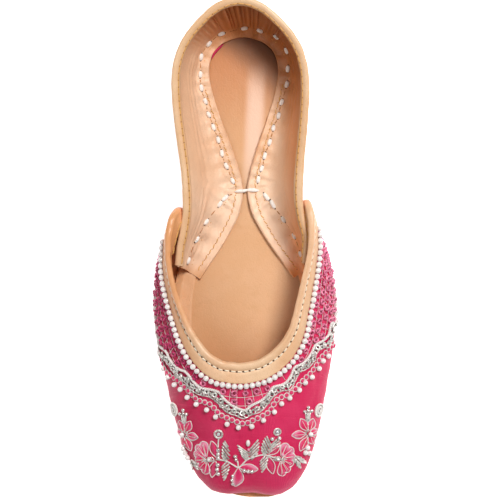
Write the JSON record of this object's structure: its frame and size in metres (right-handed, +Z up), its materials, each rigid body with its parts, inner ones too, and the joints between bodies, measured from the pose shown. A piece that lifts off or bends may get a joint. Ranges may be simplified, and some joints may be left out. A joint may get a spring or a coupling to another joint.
{
  "type": "mojari shoe",
  "caption": "Flat closed-toe slipper with an embroidered pink silk vamp, side wings, a tan leather-lined quarter and a thin leather sole.",
  "frame": {"origin": "on the floor, under the middle of the shoe's bounding box", "axes": "+Y runs from the toe to the heel along the length of the shoe, +Z is up from the floor, +X is the wearer's left-hand side when the toe points along -Y"},
  "size_m": [0.0902, 0.248, 0.0543],
  "materials": {
    "sole_leather": "matt vegetable-tanned leather with a polished edge",
    "sock_leather": "smooth padded leather with a soft sheen",
    "pink_silk": "plain-weave raw silk with a slight sheen",
    "tan_leather": "smooth thin leather, folded and stitched",
    "silver_thread": "couched metallic thread"
  },
  "bodies": {
    "root": {"outsole": "sole_leather", "insole": "sock_leather", "upper_vamp": "pink_silk", "upper_quarter": "tan_leather", "vamp_binding": "tan_leather", "quarter_binding": "tan_leather", "vamp_margin": "tan_leather", "silver_band": "silver_thread"}
  },
  "joints": []
}
